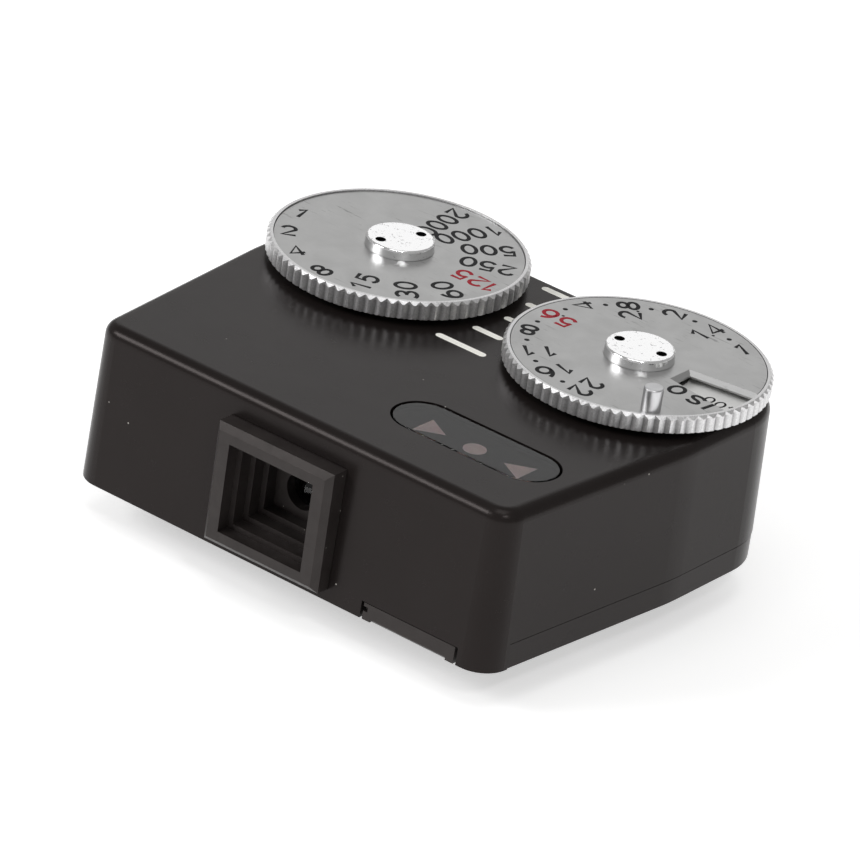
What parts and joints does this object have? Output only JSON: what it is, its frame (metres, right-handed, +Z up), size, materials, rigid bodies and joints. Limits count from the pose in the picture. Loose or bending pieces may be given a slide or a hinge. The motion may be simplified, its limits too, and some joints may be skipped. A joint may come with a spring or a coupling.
{
  "type": "handheld light meter",
  "caption": "Small exposure meter for a camera's accessory shoe, with two knurled setting dials, a hooded light cell, lamps, a battery door and a button.",
  "frame": {"origin": "centre of the shoe foot's underside", "axes": "+Z up out of the dial faces, -Y the way the light cell looks, +X towards the aperture dial"},
  "size_m": [0.0546, 0.0482, 0.0249],
  "materials": {
    "black_paint": "satin",
    "black_plastic": "matte",
    "knob_metal": "satin",
    "polished_metal": "polished",
    "steel": "plain",
    "spring_metal": "plain",
    "board_green": "satin",
    "chip_black": "matte",
    "flex_amber": "gloss",
    "carbon": "matte",
    "mark_white": "satin",
    "lamp_mask": "matte",
    "smoked_window": "polished",
    "lamp_lens": "satin",
    "lamp": "gloss",
    "lens_glass": "polished",
    "filter_glass": "polished",
    "ceramic_white": "matte",
    "cell_steel": "polished"
  },
  "bodies": {
    "base": {"aperture_bushing": "spring_metal", "aperture_bushing_nut": "spring_metal", "aperture_click_spring": "steel", "battery_box": "black_plastic", "board_parts": "ceramic_white", "board_screws": "steel", "bottom_cover": "black_paint", "button_cells": "cell_steel", "button_spring": "steel", "button_switch": "chip_black", "case_screws": "steel", "cell_filter": "filter_glass", "cell_lens": "lens_glass", "click_screws": "steel", "contact_minus": "spring_metal", "contact_plus": "spring_metal", "controller_chip": "chip_black", "door_hinge_pin": "steel", "dot_lens": "lamp_lens", "foot_screws": "steel", "index_marks": "mark_white", "lamp_board": "board_green", "lamp_flex": "flex_amber", "lamp_mask": "lamp_mask", "lamp_window": "smoked_window", "lamps": "lamp", "left_arrow_lens": "lamp_lens", "light_baffle": "black_plastic", "main_board": "board_green", "photocell": "ceramic_white", "resistor_tracks": "carbon", "right_arrow_lens": "lamp_lens", "sensor_board": "board_green", "sensor_hood": "black_plastic", "shoe_foot": "steel", "shutter_bushing": "spring_metal", "shutter_bushing_nut": "spring_metal", "shutter_click_spring": "steel", "timing_crystal": "cell_steel", "top_case": "black_paint"},
    "shutter_dial": {"shutter_knob": "knob_metal", "shutter_scale_plate": "knob_metal", "shutter_face_screw": "polished_metal", "shutter_spindle": "steel", "shutter_retaining_ring": "steel", "shutter_click_wheel": "spring_metal", "shutter_wiper": "spring_metal"},
    "aperture_dial": {"aperture_knob": "knob_metal", "aperture_face_screw": "polished_metal", "aperture_spindle": "steel", "aperture_retaining_ring": "steel", "aperture_click_wheel": "spring_metal", "aperture_wiper": "spring_metal", "iso_friction_washer": "spring_metal"},
    "iso_setting": {"aperture_scale_plate": "knob_metal", "iso_peg": "polished_metal"},
    "measure_button": {"measure_button": "polished_metal"},
    "battery_door": {"battery_door": "black_plastic"}
  },
  "joints": [
    {"name": "shutter_turn", "type": "hinge", "parent": "base", "child": "shutter_dial", "pos_m": [-0.01447, 0.0111, 0.02095], "axis": [0, 0, 1], "range_deg": [-96, 168], "deforming": ["shutter_click_spring"]},
    {"name": "aperture_turn", "type": "hinge", "parent": "base", "child": "aperture_dial", "pos_m": [0.01447, 0.0111, 0.02095], "axis": [0, 0, 1], "range_deg": [-96, 120], "deforming": ["aperture_click_spring"]},
    {"name": "iso_turn", "type": "hinge", "parent": "aperture_dial", "child": "iso_setting", "pos_m": [0.01447, 0.0111, 0.02195], "axis": [0, 0, 1], "range_deg": [-72, 96]},
    {"name": "button_press", "type": "slide", "parent": "base", "child": "measure_button", "axis": [0, -1, 0], "range_m": [0, 0.0005], "stiffness_N_per_m": 300, "springref_m": -0.0005, "deforming": ["button_spring"]},
    {"name": "door_swing", "type": "hinge", "parent": "base", "child": "battery_door", "pos_m": [0.01588, -0.0076, 0.0049], "axis": [1, 0, 0], "range_deg": [0, 90]}
  ]
}
